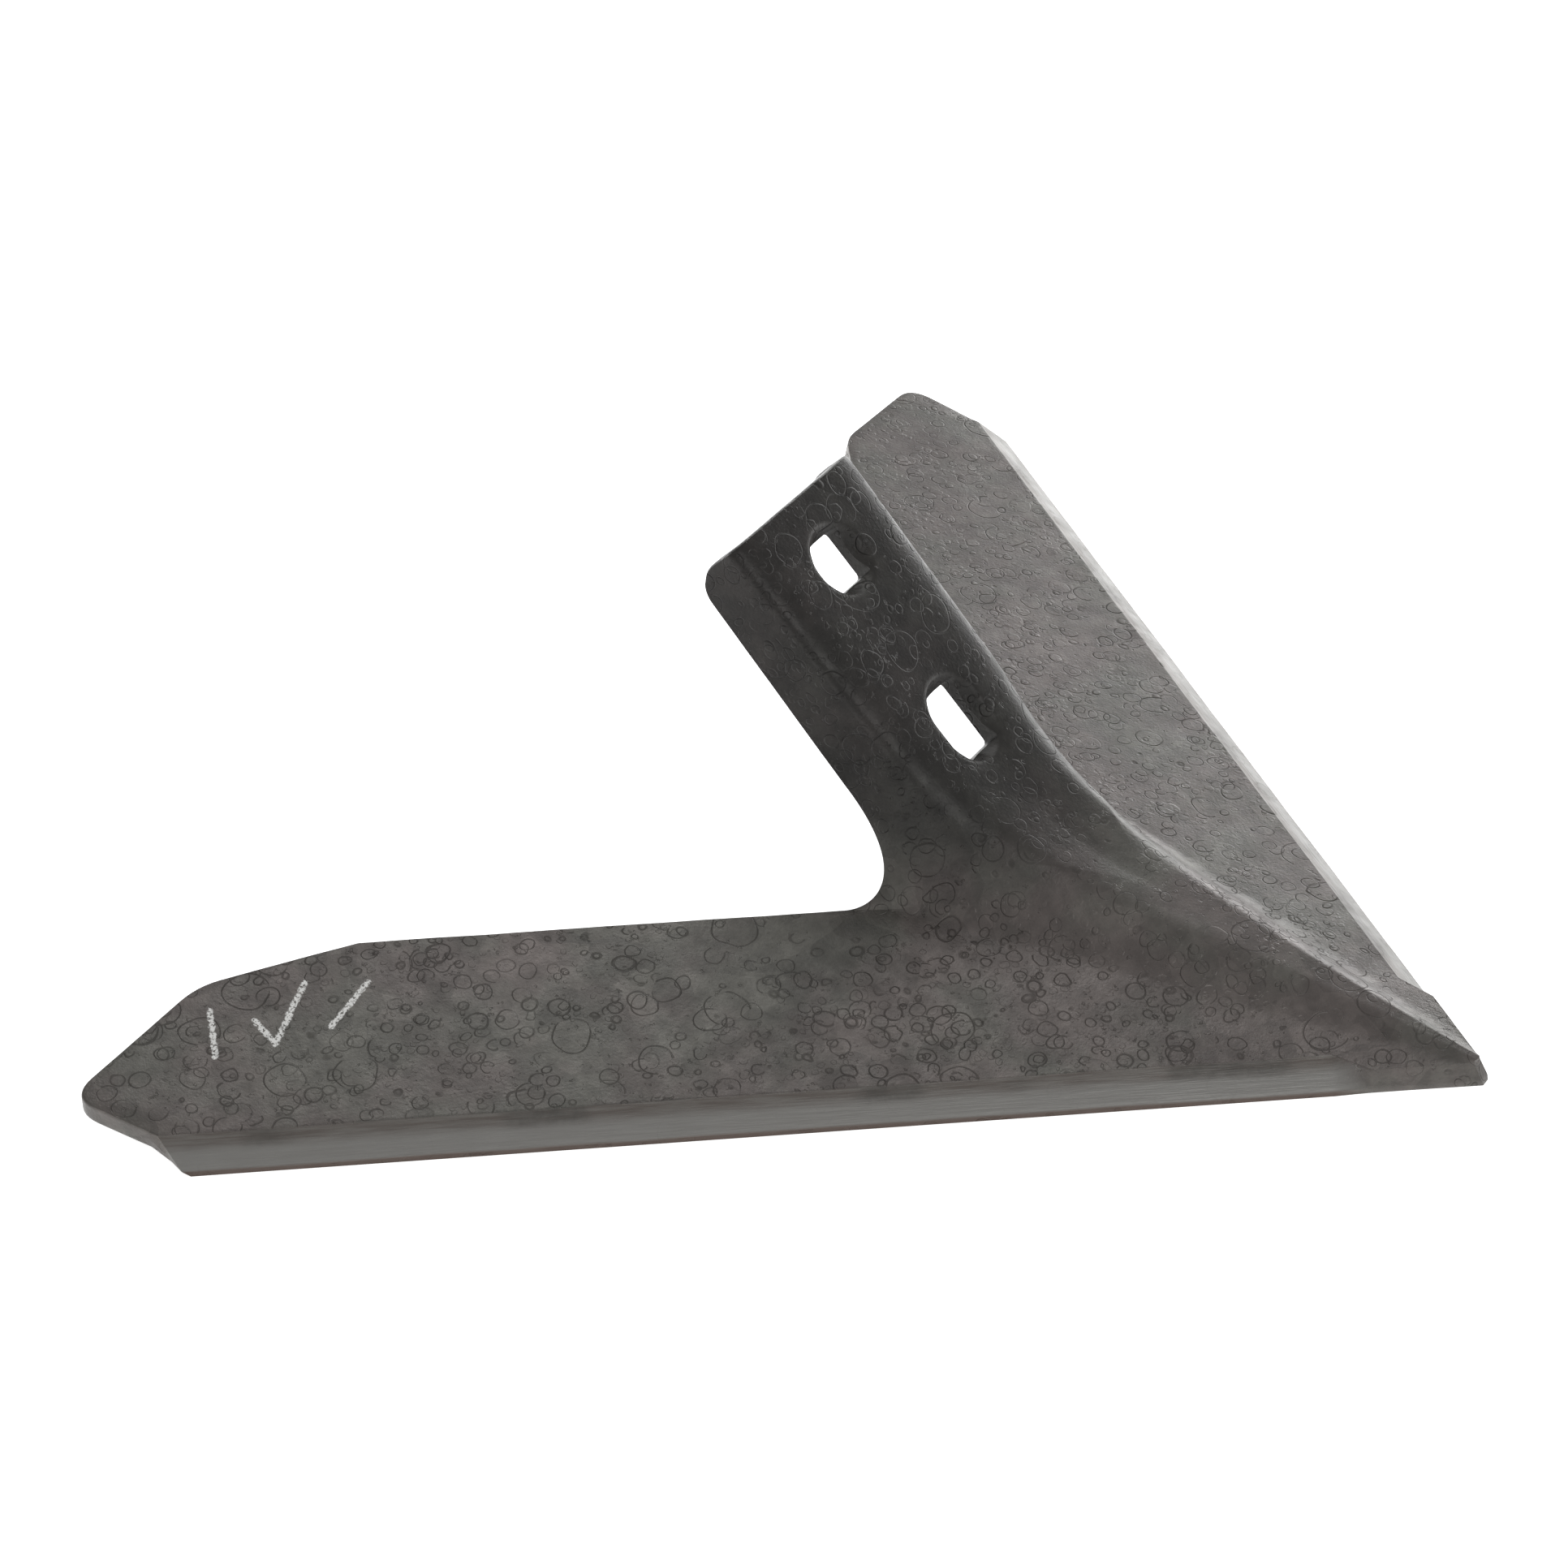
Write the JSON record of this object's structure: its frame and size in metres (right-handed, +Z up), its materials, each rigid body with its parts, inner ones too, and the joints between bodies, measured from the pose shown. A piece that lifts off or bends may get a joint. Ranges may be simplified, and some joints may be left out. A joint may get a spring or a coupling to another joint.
{
  "type": "cultivator sweep",
  "caption": "Swept V-shaped tillage blade pressed from steel plate, with bevelled cutting edges and a leaning channel neck slotted for plow bolts.",
  "frame": {"origin": "under the middle of the bounding box, on the surface that the cutting edges rest on", "axes": "+X is the direction of travel, from the tails to the nose, +Y is left, +Z is up"},
  "size_m": [0.2908, 0.407, 0.1059],
  "materials": {
    "forged_steel": "dark grey-brown heat-treatment scale, bare where the bevel was ground"
  },
  "bodies": {
    "root": {"sweep_blade": "forged_steel"}
  },
  "joints": []
}
